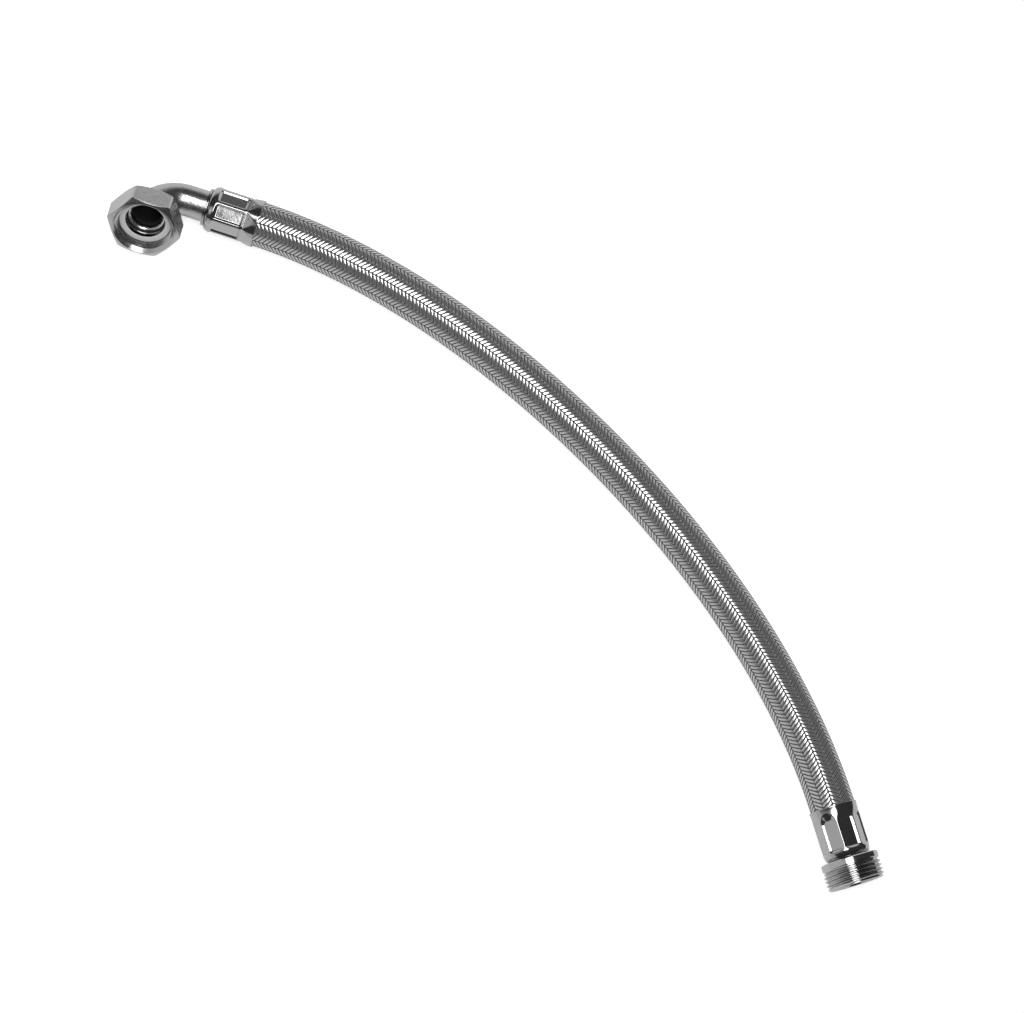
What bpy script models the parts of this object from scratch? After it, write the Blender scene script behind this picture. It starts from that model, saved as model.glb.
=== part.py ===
"""Braided supply line: one crimped hose with a bent swivel-nut end and a threaded nipple end.

Metres, +Z up. The line lies on the plane Z = 0. Each fitting is built in its own frame, whose
Z axis runs out of the hose along the fitting and whose X axis points up, with Z = 0 on the plane
where the ferrule meets the fitting's collar.
"""

import math

import bmesh
import bpy
from mathutils import Matrix, Vector

MM = 0.001

# Fits
SEAT_GAP = 0.3 * MM  # clear space between two pieces that seat on each other
SWIVEL_PLAY = 0.6 * MM  # radial play of the nut on the pipe

# Hose: a rubber liner in a woven steel sleeve
FREE_LENGTH = 473.4 * MM  # hose between the two ferrules' mouths
HOSE_OD = 25.5 * MM
BRAID_WALL = 0.6 * MM
LINER_WALL = 1.8 * MM
CRIMP_SQUEEZE = 1.7 * MM  # how far the crimp presses the hose in, on the radius
HOSE_BEVEL_RESOLUTION = 4
HOSE_SIDES = 4 + 2 * HOSE_BEVEL_RESOLUTION
POINT_SPACING = 2.0 * HOSE_OD
FINE_STEPS = 16  # steps between two points of the hose when its line is drawn

# How the line lies: the way each fitting points out of the hose, and the hose between them
ELBOW_HEADING = math.radians(161.6)
ELBOW_ROLL = math.radians(42.5)  # how far the nut's leg is rolled up from the floor
NIPPLE_HEADING = math.radians(-72.8)
NIPPLE_PITCH = math.radians(3.0)
LAY_SWAY = math.radians(-27.5)  # how much quicker the hose turns near its ends than in its middle
LAY_CENTRE = (18.0 * MM, 3.0 * MM)  # middle of the two ferrules' outer ends
HOSE_LIFT = 0.05 * MM  # hose above the floor
RISE_RUN = 90.0 * MM  # length in which the hose rises from the floor to a ferrule

# Ferrule: a drawn sleeve with a turned-in lip, pressed on to the hose by a ring of flat dies
FERRULE_WALL = 0.7 * MM
SHOULDER_RADIUS = 2.2 * MM
SHOULDER_LENGTH = 3.0 * MM
PAD_LENGTH = 17.0 * MM
PAD_FLANK = 1.0 * MM  # slope between a pad and a rib
PAD_END_FLANK = 1.6 * MM  # slope at either end of a pad
RUNOUT_LENGTH = 4.0 * MM
RUNOUT_SHARE = 0.45  # share of the press depth that is left where the run-out starts
BELL_LENGTH = 5.5 * MM
BELL_EDGE = 0.2 * MM
DIE_COUNT = 8
ELBOW_DIE_TURN = math.radians(-7.0)  # the uppermost die's turn from straight up
NIPPLE_DIE_TURN = math.radians(26.5)
RIB_HEIGHT = 1.25 * MM  # ribs between the dies, above the middle of a pad
RIB_WIDTH = 1.4 * MM
ARC_STEPS = 3

# Hose tails, the same on both fittings
TAIL_LENGTH = 25.0 * MM
TAIL_WALL = 1.2 * MM
BARB_COUNT = 4
BARB_HEIGHT = 0.5 * MM
BARB_PITCH = 4.6 * MM
BARB_RISE = 0.8  # share of a barb's pitch that is its slope
TAIL_SIDES = 24

# Bent pipe with a flared seat
PIPE_OD = 18.0 * MM
PIPE_WALL = 1.0 * MM
BEND_RADIUS = 19.0 * MM
BEND_ANGLE = math.radians(96.0)
TAIL_LEG = 9.7 * MM  # straight pipe between the collar and the bend
NUT_LEG = 2.4 * MM  # straight pipe between the bend and the flange
FLANGE_WIDTH = 1.8 * MM
FLANGE_FILLET = 0.6 * MM
MOUTH_RECESS = 0.9 * MM  # step in the flange's face, inside the gasket
MOUTH_FLARE = 2.2 * MM
BEND_STEPS = 8
PIPE_SIDES = 32

# Twin-ring collar that the pipe is let into
COLLAR_RIM = 1.5 * MM
COLLAR_RING = 0.6 * MM
COLLAR_GROOVE = 0.4 * MM
COLLAR_GROOVE_DEPTH = 0.5 * MM
SOCKET_DEPTH = 0.9 * MM

# Swivel nut and gasket, one-inch pipe thread
THREAD_MAJOR = 33.25 * MM
THREAD_MINOR = 30.29 * MM
NUT_ACROSS_FLATS = 37.4 * MM
NUT_WEB = 2.6 * MM
NUT_MOUTH = 7.0 * MM  # depth of the gasket's face below the nut's rim
NUT_CHAMFER_INSET = 0.9 * MM  # rim circle inside the flats
NUT_RIM_LAND = 0.4 * MM  # flat of the rim, between its outer and inner bevels
NUT_CHAMFER_ANGLE = math.radians(30.0)
NUT_CORNERS = 6
NUT_TURN = math.radians(-3.5)  # angle of a corner from the bend's plane
GASKET_THICKNESS = 2.8 * MM
GASKET_BORE = 22.6 * MM
GASKET_EDGE = 0.25 * MM
NUT_SIDES = 48

# Threaded nipple
NIPPLE_COLLAR_OD = 32.9 * MM
NIPPLE_COLLAR_LENGTH = 4.0 * MM
NIPPLE_COLLAR_EDGE = 0.5 * MM
NIPPLE_RELIEF = 0.5 * MM  # plain groove between the collar and the thread
NIPPLE_THREAD_LENGTH = 11.0 * MM
NIPPLE_LEAD_IN = 1.2 * MM
NIPPLE_END_WALL = 6.6 * MM  # wall of the end face, from thread to bore
NIPPLE_BORE_TAPER = 4.0 * MM
NIPPLE_SIDES = 40

# Sizes that follow from those above
HOSE_RADIUS = HOSE_OD / 2
HOSE_STEPS = round(FREE_LENGTH / POINT_SPACING)
CRIMP_RADIUS = HOSE_RADIUS - CRIMP_SQUEEZE
LINER_INSET = BRAID_WALL + SEAT_GAP
LINER_CRIMP_BORE = (CRIMP_RADIUS - LINER_INSET - LINER_WALL) * math.cos(math.pi / HOSE_SIDES)
TAIL_CREST = LINER_CRIMP_BORE - SEAT_GAP
TAIL_ROOT = TAIL_CREST - BARB_HEIGHT
TAIL_BORE = TAIL_ROOT - TAIL_WALL

PAD_APOTHEM = CRIMP_RADIUS + SEAT_GAP + FERRULE_WALL
RIB_RADIUS = PAD_APOTHEM + RIB_HEIGHT
BELL_RADIUS = HOSE_RADIUS + SEAT_GAP + FERRULE_WALL
LIP_RADIUS = TAIL_CREST + SEAT_GAP
PAD_START = SHOULDER_LENGTH
PAD_END = PAD_START + PAD_LENGTH
RUNOUT_END = PAD_END + RUNOUT_LENGTH
FERRULE_LENGTH = RUNOUT_END + BELL_LENGTH
HOSE_INSET = FERRULE_WALL + SEAT_GAP  # end of the hose behind the ferrule's lip

PIPE_RADIUS = PIPE_OD / 2
PIPE_BORE = PIPE_RADIUS - PIPE_WALL
SOCKET_RADIUS = PIPE_RADIUS + SEAT_GAP
COLLAR_RADIUS = SOCKET_RADIUS + COLLAR_RIM
COLLAR_END = SEAT_GAP + 2 * COLLAR_RING + COLLAR_GROOVE
PIPE_START = COLLAR_END - SOCKET_DEPTH + SEAT_GAP
BEND_START = COLLAR_END + TAIL_LEG
BEND_END = BEND_START + BEND_RADIUS * BEND_ANGLE  # this and the next three along the pipe's centreline
FLANGE_BACK = BEND_END + NUT_LEG
FLANGE_FACE = FLANGE_BACK + FLANGE_WIDTH
GASKET_FACE = FLANGE_FACE + SEAT_GAP + GASKET_THICKNESS
FLANGE_RADIUS = THREAD_MINOR / 2 - SEAT_GAP

BRASS = (0.74, 0.74, 0.75)
STAINLESS = (0.62, 0.62, 0.63)
GASKET_GREY = (0.5, 0.5, 0.5)
RUBBER_BLACK = (0.03, 0.03, 0.03)


def clear_scene():
    """Removes whatever the scene holds."""
    for old in list(bpy.data.objects):
        bpy.data.objects.remove(old, do_unlink=True)


def make_material(name, colour, metallic, roughness):
    """Principled material with one colour."""
    material = bpy.data.materials.new(name)
    material.use_nodes = True
    shader = material.node_tree.nodes["Principled BSDF"]
    shader.inputs["Base Color"].default_value = (*colour, 1.0)
    shader.inputs["Metallic"].default_value = metallic
    shader.inputs["Roughness"].default_value = roughness
    return material


def add_object(name, data, parent, material):
    """Links a mesh or curve under its parent's frame."""
    piece = bpy.data.objects.new(name, data)
    bpy.context.scene.collection.objects.link(piece)
    piece.parent = parent
    if material:
        data.materials.append(material)
    return piece


def add_frame(name, matrix, parent=None):
    """Empty that carries the pieces of one fitting."""
    frame = add_object(name, None, parent, None)
    frame.matrix_local = matrix
    return frame


def fitting_matrix(end, height, heading, pitch):
    """Frame with Z along the given heading and pitch, X up, at a point over the floor."""
    level = math.cos(pitch)
    ahead = Vector((level * math.cos(heading), level * math.sin(heading), math.sin(pitch)))
    side = ahead.cross(Vector((0, 0, 1))).normalized()
    up = side.cross(ahead)
    axes = Matrix((up, side, ahead)).transposed()
    return Matrix.Translation((*end, height)) @ axes.to_4x4()


def finish_mesh(name, bm):
    """Turns a closed bmesh into a smooth-shaded mesh with crisp edges."""
    bmesh.ops.remove_doubles(bm, verts=bm.verts, dist=0.001 * MM)
    bmesh.ops.recalc_face_normals(bm, faces=bm.faces)
    mesh = bpy.data.meshes.new(name)
    bm.to_mesh(mesh)
    bm.free()
    mesh.shade_smooth()
    mesh.set_sharp_from_angle(angle=math.radians(30))
    return mesh


def turned_mesh(name, profile, sides):
    """Closed profile of (radius, height) points, spun once about Z."""
    bm = bmesh.new()
    points = [bm.verts.new((radius, 0, height)) for radius, height in profile]
    edges = [bm.edges.new(pair) for pair in zip(points, points[1:] + points[:1])]
    bmesh.ops.spin(
        bm, geom=points + edges, cent=(0, 0, 0), axis=(0, 0, 1), angle=math.tau, steps=sides, use_merge=True
    )
    return finish_mesh(name, bm)


def lofted_mesh(name, rings):
    """Skin over closed rings of points, the last ring joined to the first."""
    bm = bmesh.new()
    loops = [[bm.verts.new(point) for point in ring] for ring in rings]
    for loop, after in zip(loops, loops[1:] + loops[:1]):
        for i in range(len(loop)):
            j = (i + 1) % len(loop)
            bm.faces.new((loop[i], loop[j], after[j], after[i]))
    return finish_mesh(name, bm)


def quarter_arc(steps):
    """Cosine and sine of evenly spaced angles from 0 to 90 degrees."""
    angles = [math.pi / 2 * i / steps for i in range(steps + 1)]
    return [(math.cos(angle), math.sin(angle)) for angle in angles]


def level_way(heading):
    """Unit step in plan along a heading."""
    return Vector((math.cos(heading), math.sin(heading)))


def hose_heading(share):
    """Heading of the free hose at a share of its length, from the elbow's end."""
    start = ELBOW_HEADING - math.pi
    sway = share * (1 - share) * (1 - 2 * share)
    return start + (NIPPLE_HEADING - start) * share + LAY_SWAY * sway


def hose_height(share):
    """Height of the free hose's middle: on the floor, with a rise to the ferrule at each end."""
    floor = HOSE_RADIUS + HOSE_LIFT
    nipple_mouth = NIPPLE_COLLAR_OD / 2 - FERRULE_LENGTH * math.sin(NIPPLE_PITCH)
    height = floor
    for away, mouth, pitch in ((share, BELL_RADIUS, 0), (1 - share, nipple_mouth, NIPPLE_PITCH)):
        run = min(away * FREE_LENGTH / RISE_RUN, 1)
        slope = math.tan(pitch) * RISE_RUN
        height += (1 - run) ** 2 * ((mouth - floor) * (1 + 2 * run) - slope * run)
    return height


def hose_plan():
    """Points of the free hose in plan, and the plan places of the elbow's and the nipple's ends."""
    count = HOSE_STEPS * FINE_STEPS
    line = [Vector((0, 0))]
    for i in range(count):
        line.append(line[-1] + FREE_LENGTH / count * level_way(hose_heading((i + 0.5) / count)))
    elbow = line[0] + FERRULE_LENGTH * level_way(ELBOW_HEADING)
    nipple = line[-1] + FERRULE_LENGTH * math.cos(NIPPLE_PITCH) * level_way(NIPPLE_HEADING)
    shift = Vector(LAY_CENTRE) - (elbow + nipple) / 2
    return [point + shift for point in line[::FINE_STEPS]], elbow + shift, nipple + shift


def hose_points(plan, elbow, nipple):
    """Points of the hose as (place, press), from the elbow's end to the nipple's.

    Press is 1 where the ferrule grips the hose and 0 where it is free.
    """
    grip = [(-HOSE_INSET, 1), (-PAD_END, 1), (-RUNOUT_END, 0)]
    points = [(elbow @ Vector((0, 0, z)), press) for z, press in grip]
    for i, point in enumerate(plan):
        points.append((Vector((*point, hose_height(i / HOSE_STEPS))), 0))
    points += [(nipple @ Vector((0, 0, z)), press) for z, press in reversed(grip)]
    return points


def hose_layer(name, points, radius, wall, material):
    """One hollow layer of the hose: a bevelled curve with its wall grown inwards."""
    curve = bpy.data.curves.new(name, "CURVE")
    curve.dimensions = "3D"
    curve.twist_mode = "Z_UP"
    curve.bevel_depth = radius
    curve.bevel_resolution = HOSE_BEVEL_RESOLUTION
    spline = curve.splines.new("POLY")
    spline.points.add(len(points) - 1)
    for knot, (place, press) in zip(spline.points, points):
        knot.co = (*place, 1)
        knot.radius = 1 - press * CRIMP_SQUEEZE / radius
    layer = add_object(name, curve, None, material)
    shell = layer.modifiers.new("wall", "SOLIDIFY")
    shell.thickness = wall
    shell.offset = -1
    shell.use_even_offset = True
    return layer


def die_offsets():
    """Angles of a section's points about the middle of a die, and the half angle of its pad."""
    half = math.pi / DIE_COUNT
    rib_edge = half - RIB_WIDTH / 2 / RIB_RADIUS
    pad_edge = rib_edge - PAD_FLANK / RIB_RADIUS
    return (-rib_edge, -pad_edge, 0.0, pad_edge, rib_edge, half), pad_edge


def pressed_ring(height, round_radius, apothem, press, phase):
    """Section of the ferrule: round, with a flat pressed towards the apothem at each die."""
    offsets, pad_edge = die_offsets()
    ring = []
    for die in range(DIE_COUNT):
        for offset in offsets:
            radius = round_radius
            if abs(offset) <= pad_edge:
                radius += press * (apothem / math.cos(offset) - round_radius)
            angle = phase + math.tau * die / DIE_COUNT + offset
            ring.append((radius * math.cos(angle), radius * math.sin(angle), height))
    return ring


def ferrule(name, frame, phase, material):
    """Crimped sleeve, lofted from its lip over the pressed pads to the bell and back inside."""
    outer = [(0.0, LIP_RADIUS, 0.0)]
    inner = [(-FERRULE_WALL, LIP_RADIUS, 0.0)]
    crown = RIB_RADIUS - SHOULDER_RADIUS
    inner_turn = SHOULDER_RADIUS - FERRULE_WALL
    for cosine, sine in quarter_arc(ARC_STEPS):
        outer.append((-SHOULDER_RADIUS * (1 - cosine), crown + SHOULDER_RADIUS * sine, 0.0))
        inner.append((-FERRULE_WALL - inner_turn * (1 - cosine), crown + inner_turn * sine, 0.0))
    outer += [
        (-PAD_START, RIB_RADIUS, 0.0),
        (-PAD_START - PAD_END_FLANK, RIB_RADIUS, 1.0),
        (-PAD_END + PAD_END_FLANK, RIB_RADIUS, 1.0),
        (-PAD_END, RIB_RADIUS, RUNOUT_SHARE),
        (-RUNOUT_END, BELL_RADIUS, 0.0),
        (-FERRULE_LENGTH + BELL_EDGE, BELL_RADIUS, 0.0),
        (-FERRULE_LENGTH, BELL_RADIUS - BELL_EDGE, 0.0),
    ]
    inside = RIB_RADIUS - FERRULE_WALL
    mouth = BELL_RADIUS - FERRULE_WALL
    inner += [
        (-PAD_START, inside, 0.0),
        (-PAD_START - PAD_END_FLANK, inside, 1.0),
        (-PAD_END, inside, 1.0),
        (-RUNOUT_END, mouth, 0.0),
        (-FERRULE_LENGTH, mouth, 0.0),
    ]
    rings = [pressed_ring(z, radius, PAD_APOTHEM, press, phase) for z, radius, press in outer]
    floor = PAD_APOTHEM - FERRULE_WALL
    rings += [pressed_ring(z, radius, floor, press, phase) for z, radius, press in reversed(inner)]
    return add_object(name, lofted_mesh(name, rings), frame, material)


def tail_profile():
    """Barbed outside of a hose tail, from its tip to the collar plane."""
    profile = [(TAIL_BORE, -TAIL_LENGTH)]
    for barb in range(BARB_COUNT):
        foot = -TAIL_LENGTH + barb * BARB_PITCH
        profile.append((TAIL_ROOT, foot))
        profile.append((TAIL_CREST, foot + BARB_PITCH * BARB_RISE))
    profile.append((TAIL_ROOT, -TAIL_LENGTH + BARB_COUNT * BARB_PITCH))
    profile.append((TAIL_CREST, -HOSE_INSET))
    return profile


def elbow_tail(frame, material):
    """Hose tail with the twin-ring collar that the bent pipe is let into."""
    groove = COLLAR_RADIUS - COLLAR_GROOVE_DEPTH
    first_ring = SEAT_GAP + COLLAR_RING
    floor = COLLAR_END - SOCKET_DEPTH
    profile = tail_profile() + [
        (TAIL_CREST, SEAT_GAP),
        (COLLAR_RADIUS, SEAT_GAP),
        (COLLAR_RADIUS, first_ring),
        (groove, first_ring),
        (groove, first_ring + COLLAR_GROOVE),
        (COLLAR_RADIUS, first_ring + COLLAR_GROOVE),
        (COLLAR_RADIUS, COLLAR_END),
        (SOCKET_RADIUS, COLLAR_END),
        (SOCKET_RADIUS, floor),
        (TAIL_BORE, floor),
    ]
    mesh = turned_mesh("elbow_tail", profile, TAIL_SIDES)
    return add_object("elbow_tail", mesh, frame, material)


def pipe_matrix(along):
    """Frame on the bent pipe's centreline, with Z along it, at a distance from the collar plane."""
    turn = min(max(along - BEND_START, 0), BEND_END - BEND_START) / BEND_RADIUS
    ahead = Vector((math.sin(turn), 0, math.cos(turn)))
    centre = Vector((BEND_RADIUS * (1 - math.cos(turn)), 0, BEND_START + BEND_RADIUS * math.sin(turn)))
    centre += ahead * (min(along - BEND_START, 0) + max(along - BEND_END, 0))
    return Matrix.Translation(centre) @ Matrix.Rotation(turn, 4, "Y")


def pipe_ring(radius, along):
    """Round section of the bent pipe."""
    place = pipe_matrix(along)
    angles = [math.tau * i / PIPE_SIDES for i in range(PIPE_SIDES)]
    return [place @ Vector((radius * math.cos(angle), radius * math.sin(angle), 0)) for angle in angles]


def pipe_run(radius):
    """Sections along the bent pipe at one radius, up to where the nut's leg starts."""
    bend = [BEND_START + (BEND_END - BEND_START) * step / BEND_STEPS for step in range(BEND_STEPS + 1)]
    return [pipe_ring(radius, along) for along in [PIPE_START] + bend]


def elbow_pipe(frame, material):
    """Bent pipe whose far end has the flange that carries the gasket, with a stepped, flared mouth."""
    recess = GASKET_BORE / 2
    ledge = FLANGE_FACE - MOUTH_RECESS
    rings = pipe_run(PIPE_RADIUS)
    rings += [
        pipe_ring(PIPE_RADIUS, FLANGE_BACK - FLANGE_FILLET),
        pipe_ring(PIPE_RADIUS + FLANGE_FILLET, FLANGE_BACK),
        pipe_ring(FLANGE_RADIUS, FLANGE_BACK),
        pipe_ring(FLANGE_RADIUS, FLANGE_FACE),
        pipe_ring(recess, FLANGE_FACE),
        pipe_ring(recess, ledge),
    ]
    for cosine, sine in reversed(quarter_arc(ARC_STEPS)):
        flare = PIPE_BORE + MOUTH_FLARE * (1 - cosine)
        rings.append(pipe_ring(flare, ledge - MOUTH_FLARE * (1 - sine)))
    rings += reversed(pipe_run(PIPE_BORE))
    return add_object("elbow_pipe", lofted_mesh("elbow_pipe", rings), frame, material)


def sealing_gasket(seat, material):
    """Flat ring on the flange, with its front face in the seat plane."""
    inside = GASKET_BORE / 2
    outside = FLANGE_RADIUS
    profile = [
        (inside, -GASKET_THICKNESS),
        (outside - GASKET_EDGE, -GASKET_THICKNESS),
        (outside, -GASKET_THICKNESS + GASKET_EDGE),
        (outside, -GASKET_EDGE),
        (outside - GASKET_EDGE, 0),
        (inside, 0),
    ]
    mesh = turned_mesh("sealing_gasket", profile, NUT_SIDES)
    return add_object("sealing_gasket", mesh, seat, material)


def cut_piece(piece, operation, cutter_mesh):
    """Applies one Boolean cut with a turned cutter that lies in the piece's own frame."""
    cutter = add_object("cutter", cutter_mesh, piece.parent, None)
    cutter.hide_render = True
    cutter.display_type = "WIRE"
    cut = piece.modifiers.new("cut", "BOOLEAN")
    cut.operation = operation
    cut.solver = "EXACT"
    cut.object = cutter
    bpy.context.view_layer.update()
    result = bpy.data.meshes.new_from_object(piece.evaluated_get(bpy.context.evaluated_depsgraph_get()))
    piece.modifiers.clear()
    piece.data = result
    bpy.data.objects.remove(cutter, do_unlink=True)


def swivel_nut(seat, material):
    """Hexagon nut, chamfered at both ends and bored for the pipe, the flange and the thread."""
    web_face = FLANGE_BACK - GASKET_FACE - SEAT_GAP
    back = web_face - NUT_WEB
    rim = NUT_MOUTH
    spare = NUT_WEB
    corner = NUT_ACROSS_FLATS / 2 / math.cos(math.pi / NUT_CORNERS)
    bar = [(0, back - spare), (corner, back - spare), (corner, rim + spare), (0, rim + spare)]
    mesh = turned_mesh("swivel_nut", bar, NUT_CORNERS)
    mesh.transform(Matrix.Rotation(NUT_TURN, 4, "Z"))
    nut = add_object("swivel_nut", mesh, seat, material)

    face = NUT_ACROSS_FLATS / 2 - NUT_CHAMFER_INSET
    wide = corner + spare
    slope = (wide - face) * math.tan(NUT_CHAMFER_ANGLE)
    chamfers = [(0, back), (face, back), (wide, back + slope), (wide, rim - slope), (face, rim), (0, rim)]
    cut_piece(nut, "INTERSECT", turned_mesh("chamfers", chamfers, NUT_SIDES))

    hole = PIPE_RADIUS + SWIVEL_PLAY
    thread = THREAD_MINOR / 2
    entry = face - NUT_RIM_LAND
    bore = [
        (0, back - spare),
        (hole, back - spare),
        (hole, web_face),
        (thread, web_face),
        (thread, rim - (entry - thread)),
        (entry, rim),
        (entry, rim + spare),
        (0, rim + spare),
    ]
    cut_piece(nut, "DIFFERENCE", turned_mesh("bore", bore, NUT_SIDES))
    nut.data.name = "swivel_nut"
    nut.data.shade_smooth()
    nut.data.set_sharp_from_angle(angle=math.radians(20))
    return nut


def male_nipple(frame, material):
    """Turned nipple: barbed tail, plain collar, relief groove and thread at its major diameter."""
    collar = NIPPLE_COLLAR_OD / 2
    collar_end = SEAT_GAP + NIPPLE_COLLAR_LENGTH
    end = collar_end + NIPPLE_THREAD_LENGTH
    crest = THREAD_MAJOR / 2
    root = THREAD_MINOR / 2
    bore = root - NIPPLE_END_WALL
    edge = NIPPLE_COLLAR_EDGE
    profile = tail_profile() + [
        (TAIL_CREST, SEAT_GAP),
        (collar - edge, SEAT_GAP),
        (collar, SEAT_GAP + edge),
        (collar, collar_end - edge),
        (collar - edge, collar_end),
        (root, collar_end),
        (root, collar_end + NIPPLE_RELIEF),
        (crest, collar_end + NIPPLE_RELIEF + (crest - root)),
        (crest, end - NIPPLE_LEAD_IN),
        (crest - NIPPLE_LEAD_IN, end),
        (bore, end),
        (bore, collar_end),
        (TAIL_BORE, collar_end - NIPPLE_BORE_TAPER),
    ]
    mesh = turned_mesh("male_nipple", profile, NIPPLE_SIDES)
    return add_object("male_nipple", mesh, frame, material)


def build():
    """Places the two fittings, then lays the hose between them."""
    clear_scene()
    plated = {"metallic": 1.0, "roughness": 0.18}
    soft = {"metallic": 0.0, "roughness": 0.75}

    plan, elbow_place, nipple_place = hose_plan()
    elbow = fitting_matrix(elbow_place, BELL_RADIUS, ELBOW_HEADING, 0)
    nipple = fitting_matrix(nipple_place, NIPPLE_COLLAR_OD / 2, NIPPLE_HEADING, NIPPLE_PITCH)
    elbow_end = add_frame("elbow_end", elbow)
    nipple_end = add_frame("nipple_end", nipple)
    bend = add_frame("elbow_bend", Matrix.Rotation(ELBOW_ROLL - math.pi / 2, 4, "Z"), elbow_end)
    seat = add_frame("nut_seat", pipe_matrix(GASKET_FACE), bend)

    elbow_pipe(bend, make_material("elbow_pipe", BRASS, **plated))
    elbow_tail(elbow_end, make_material("elbow_tail", BRASS, **plated))
    sealing_gasket(seat, make_material("sealing_gasket", GASKET_GREY, **soft))
    swivel_nut(seat, make_material("swivel_nut", BRASS, **plated))
    male_nipple(nipple_end, make_material("male_nipple", BRASS, **plated))
    sleeve = make_material("elbow_ferrule", STAINLESS, **plated)
    ferrule("elbow_ferrule", elbow_end, ELBOW_DIE_TURN, sleeve)
    sleeve = make_material("nipple_ferrule", STAINLESS, **plated)
    ferrule("nipple_ferrule", nipple_end, NIPPLE_DIE_TURN, sleeve)

    points = hose_points(plan, elbow, nipple)
    woven = make_material("braid_sleeve", STAINLESS, 0.9, 0.4)
    hose_layer("braid_sleeve", points, HOSE_RADIUS, BRAID_WALL, woven)
    rubber = make_material("inner_tube", RUBBER_BLACK, **soft)
    hose_layer("inner_tube", points, HOSE_RADIUS - LINER_INSET, LINER_WALL, rubber)


build()
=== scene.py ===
import math

import bmesh
import bpy
import numpy as np
from mathutils import Matrix, Vector


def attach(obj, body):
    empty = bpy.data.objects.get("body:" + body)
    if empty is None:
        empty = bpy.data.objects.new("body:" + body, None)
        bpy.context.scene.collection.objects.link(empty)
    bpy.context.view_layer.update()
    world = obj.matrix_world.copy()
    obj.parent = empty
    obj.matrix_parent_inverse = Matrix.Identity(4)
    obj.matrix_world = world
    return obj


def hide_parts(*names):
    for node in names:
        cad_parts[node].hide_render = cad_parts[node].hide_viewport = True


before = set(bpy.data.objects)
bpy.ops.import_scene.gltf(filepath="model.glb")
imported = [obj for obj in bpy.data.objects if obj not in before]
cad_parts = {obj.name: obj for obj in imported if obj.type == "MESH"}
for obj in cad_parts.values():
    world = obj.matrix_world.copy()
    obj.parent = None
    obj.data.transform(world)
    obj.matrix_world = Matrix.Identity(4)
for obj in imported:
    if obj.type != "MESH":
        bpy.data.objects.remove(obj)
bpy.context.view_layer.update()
mm = 0.001
weldGap = 0.0005 * mm  # points closer than this become one
print("stage: frame loaded, nodes", len(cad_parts))


# Small mesh and node helpers

def wayTo(heading, pitch=0.0):
    level = math.cos(pitch)
    return Vector((level * math.cos(heading), level * math.sin(heading), math.sin(pitch)))


def fittingFrame(place, height, heading, pitch):  # Z out of the hose, X up
    ahead = wayTo(heading, pitch)
    side = ahead.cross(Vector((0, 0, 1))).normalized()
    axes = Matrix((side.cross(ahead), side, ahead)).transposed()
    return Matrix.Translation((*place, height)) @ axes.to_4x4()


def softMin(a, b, width):  # the lower of two heights, with the crease between them rounded
    return (a + b - np.sqrt((a - b) ** 2 + width ** 2)) / 2


def softMax(a, b, width):
    return (a + b + np.sqrt((a - b) ** 2 + width ** 2)) / 2


def roundCorners(profile, size, steps=3, most=0.45):  # corners become arcs, at most this share of a side
    points = [Vector(p) for p in profile]
    result = []
    for i, corner in enumerate(points):
        before, after = points[i - 1] - corner, points[(i + 1) % len(points)] - corner
        first = corner + before.normalized() * min(size, before.length * most)
        last = corner + after.normalized() * min(size, after.length * most)
        for step in range(steps + 1):
            t = step / steps
            result.append(tuple(first * (1 - t) ** 2 + corner * 2 * t * (1 - t) + last * t ** 2))
    return result


def skinFaces(count, width, closed=True):  # quads between neighbouring loops of a grid of points
    i, j = np.meshgrid(np.arange(count if closed else count - 1), np.arange(width), indexing="ij")
    after, beside = (i + 1) % count, (j + 1) % width
    quads = np.stack([i * width + j, i * width + beside, after * width + beside, after * width + j], -1)
    return quads.reshape(-1, 4)


def keepOwn(mesh, own):  # a piece's own coordinates, which its finish follows
    values = np.asarray(own, np.float32).ravel()
    mesh.attributes.new("own", "FLOAT_VECTOR", "POINT").data.foreach_set("vector", values)


def addObject(name, data):
    thing = bpy.data.objects.new(name, data)
    bpy.context.scene.collection.objects.link(thing)
    return thing


def addPiece(name, verts, faces, materials, place=None, crease=35, slots=None):  # crease in degrees
    mesh = bpy.data.meshes.new(name)
    mesh.from_pydata(np.asarray(verts).reshape(-1, 3).tolist(), [], np.asarray(faces).tolist())
    if slots is not None:
        mesh.polygons.foreach_set("material_index", np.asarray(slots, dtype=np.int32))
    bm = bmesh.new()
    bm.from_mesh(mesh)
    bmesh.ops.remove_doubles(bm, verts=bm.verts, dist=weldGap)
    bmesh.ops.dissolve_degenerate(bm, edges=bm.edges, dist=weldGap)
    bmesh.ops.recalc_face_normals(bm, faces=bm.faces)
    bm.to_mesh(mesh)
    bm.free()
    for material in materials:
        mesh.materials.append(material)
    mesh.shade_smooth()
    mesh.set_sharp_from_angle(angle=math.radians(crease))
    own = np.zeros(len(mesh.vertices) * 3, dtype=np.float32)
    mesh.vertices.foreach_get("co", own)
    keepOwn(mesh, own)
    if place is not None:
        mesh.transform(place)
    return addObject(name, mesh)


def settle(piece, body, slot, *nodes):  # body it rides on; slot, which is not used; solids it stands for
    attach(piece, body)
    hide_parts(*nodes)
    print("stage:", piece.name, len(piece.data.polygons), "faces")
    return piece


def turnedGrid(columns):  # columns of points about the axis, each a closed outline, the last on the first
    count, width, _ = columns.shape
    faces = skinFaces(count, width, closed=False)
    return columns.reshape(-1, 3), faces


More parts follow.
